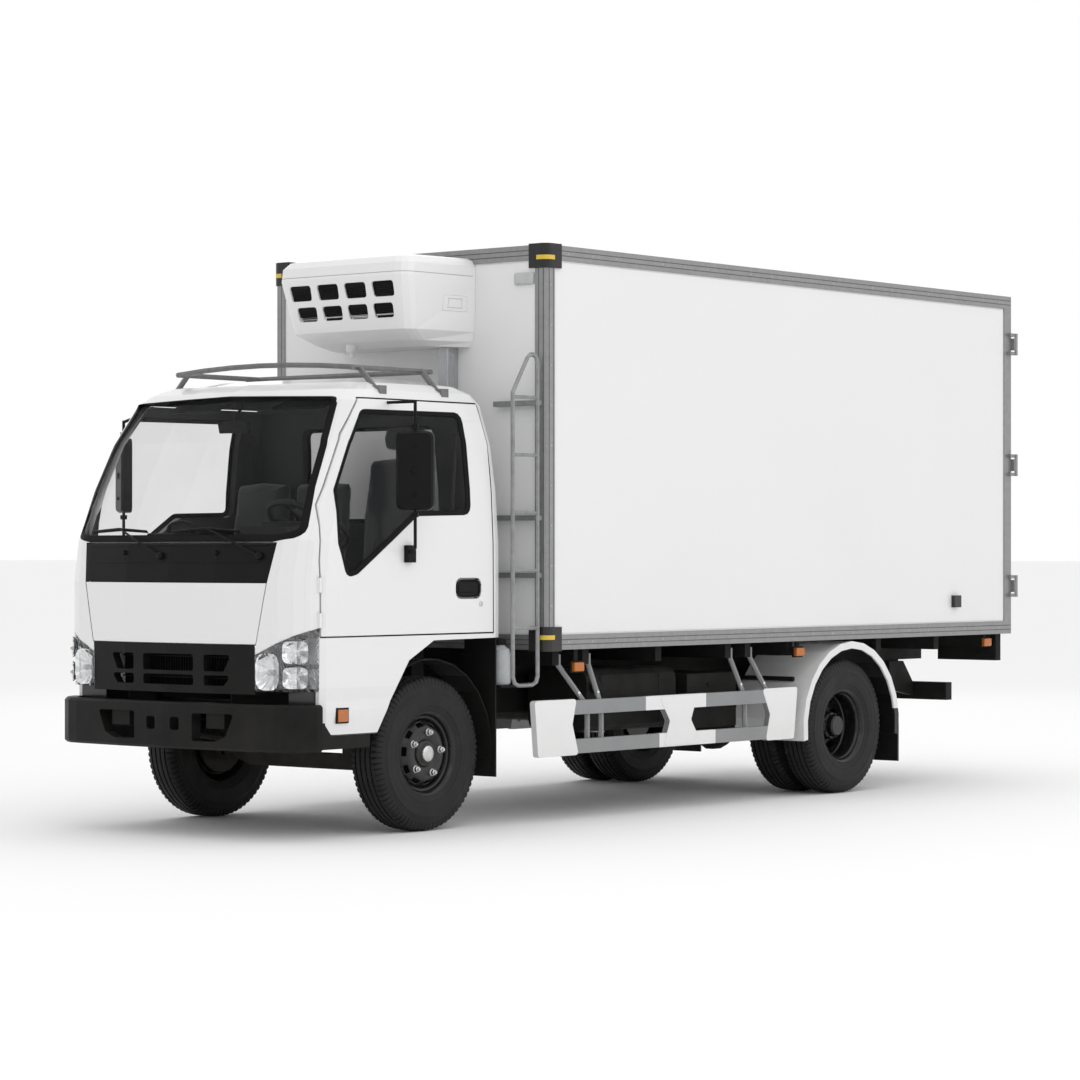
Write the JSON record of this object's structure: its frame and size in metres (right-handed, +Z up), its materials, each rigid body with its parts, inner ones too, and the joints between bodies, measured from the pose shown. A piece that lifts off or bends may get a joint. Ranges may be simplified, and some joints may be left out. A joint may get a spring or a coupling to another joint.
{
  "type": "refrigerated_truck",
  "caption": "Light cab over truck with an insulated white box body, a cooling unit over the cab, twin rear wheels, opening doors and coupled steering",
  "frame": {"origin": "on the ground under the middle of the truck's length and width", "axes": "+Y runs back along the truck, +X to its left side and +Z up; the cab faces -Y"},
  "size_m": [2.046, 6.137, 2.887],
  "materials": {
    "white_paint": "glossy white paint",
    "panel_white": "white glass fibre skin, satin",
    "aluminium": "mill finish",
    "galvanised": "galvanised tube",
    "black_paint": "black chassis paint",
    "black_plastic": "grained black plastic",
    "tyre_rubber": "worn rubber",
    "cast_metal": "dark cast metal",
    "clear_glass": "clear",
    "lamp_glass": "clear lens over a reflector",
    "grey_fabric": "woven grey",
    "grey_plastic": "grained grey"
  },
  "bodies": {
    "truck": {"access_ladder": "galvanised", "battery_box": "black_paint", "box_edge_frame": "aluminium", "box_floor": "panel_white", "box_front_wall": "panel_white", "box_roof": "panel_white", "box_subframe": "black_paint", "box_wall_left": "panel_white", "box_wall_right": "panel_white", "cab_shell": "white_paint", "chassis_frame": "black_paint", "cowl_panel": "black_plastic", "dashboard": "grey_plastic", "driver_seat": "grey_fabric", "engine_block": "cast_metal", "evaporator": "panel_white", "exhaust": "cast_metal", "front_arch_left": "black_plastic", "front_arch_right": "black_plastic", "front_axle": "cast_metal", "front_bumper": "black_plastic", "front_panel": "white_paint", "fuel_tank": "black_paint", "gearbox_and_propshaft": "cast_metal", "grille": "black_plastic", "headlamp_left": "lamp_glass", "headlamp_right": "lamp_glass", "passenger_seat": "grey_fabric", "rear_axle": "cast_metal", "rear_mudguard_left": "panel_white", "rear_mudguard_right": "panel_white", "rear_underrun": "black_paint", "rear_window": "clear_glass", "refrigeration_unit": "white_paint", "roof_rack": "galvanised", "service_duct": "aluminium", "side_guard_left": "panel_white", "side_guard_right": "panel_white", "windscreen": "clear_glass"},
    "knuckle_left": {"knuckle_left": "cast_metal"},
    "knuckle_right": {"knuckle_right": "cast_metal"},
    "wheel_front_left": {"rim_front_left": "black_paint", "tyre_front_left": "tyre_rubber"},
    "wheel_front_right": {"rim_front_right": "black_paint", "tyre_front_right": "tyre_rubber"},
    "wheel_rear_left": {"rim_rear_left": "black_paint", "tyre_rear_left_inner": "tyre_rubber", "tyre_rear_left_outer": "tyre_rubber"},
    "wheel_rear_right": {"rim_rear_right": "black_paint", "tyre_rear_right_inner": "tyre_rubber", "tyre_rear_right_outer": "tyre_rubber"},
    "steering_wheel": {"steering_wheel": "grey_plastic"},
    "cab_door_left": {"cab_door_left": "white_paint", "door_glass_left": "clear_glass", "mirror_left": "black_plastic"},
    "cab_door_right": {"cab_door_right": "white_paint", "door_glass_right": "clear_glass", "mirror_right": "black_plastic"},
    "box_door_left": {"box_door_left": "panel_white"},
    "box_door_right": {"box_door_right": "panel_white"}
  },
  "joints": [
    {"name": "steer_left", "type": "hinge", "parent": "truck", "child": "knuckle_left", "pos_m": [0.56, -2.0535, 0.375], "axis": [0, 0, 1], "range_deg": [-38, 38]},
    {"name": "wheel_front_left_spin", "type": "hinge", "parent": "knuckle_left", "child": "wheel_front_left", "pos_m": [0.699, -2.0535, 0.375], "axis": [1, 0, 0], "continuous": true},
    {"name": "steer_right", "type": "hinge", "parent": "truck", "child": "knuckle_right", "pos_m": [-0.56, -2.0535, 0.375], "axis": [0, 0, 1], "range_deg": [-38, 38]},
    {"name": "wheel_front_right_spin", "type": "hinge", "parent": "knuckle_right", "child": "wheel_front_right", "pos_m": [-0.699, -2.0535, 0.375], "axis": [1, 0, 0], "continuous": true},
    {"name": "wheel_rear_left_spin", "type": "hinge", "parent": "truck", "child": "wheel_rear_left", "pos_m": [0.7125, 1.3065, 0.375], "axis": [1, 0, 0], "continuous": true},
    {"name": "wheel_rear_right_spin", "type": "hinge", "parent": "truck", "child": "wheel_rear_right", "pos_m": [-0.7125, 1.3065, 0.375], "axis": [1, 0, 0], "continuous": true},
    {"name": "steering_wheel_turn", "type": "hinge", "parent": "truck", "child": "steering_wheel", "pos_m": [0.39, -2.4735, 1.48], "axis": [0, 0.5299, 0.848], "range_deg": [-684, 684]},
    {"name": "cab_door_left_swing", "type": "hinge", "parent": "truck", "child": "cab_door_left", "pos_m": [0.82412, -2.84353, 0.76], "axis": [0, 0, -1], "range_deg": [0, 70]},
    {"name": "cab_door_right_swing", "type": "hinge", "parent": "truck", "child": "cab_door_right", "pos_m": [-0.82412, -2.84353, 0.76], "axis": [0, 0, 1], "range_deg": [0, 70]},
    {"name": "box_door_left_swing", "type": "hinge", "parent": "truck", "child": "box_door_left", "pos_m": [0.962, 3.0585, 0.86], "axis": [0, 0, -1], "range_deg": [0, 270]},
    {"name": "box_door_right_swing", "type": "hinge", "parent": "truck", "child": "box_door_right", "pos_m": [-0.962, 3.0585, 0.86], "axis": [0, 0, 1], "range_deg": [0, 270]}
  ],
  "couplings": [
    {"joint": "steer_right", "follows": "steer_left", "ratio": 1},
    {"joint": "steering_wheel_turn", "follows": "steer_left", "ratio": 18}
  ]
}
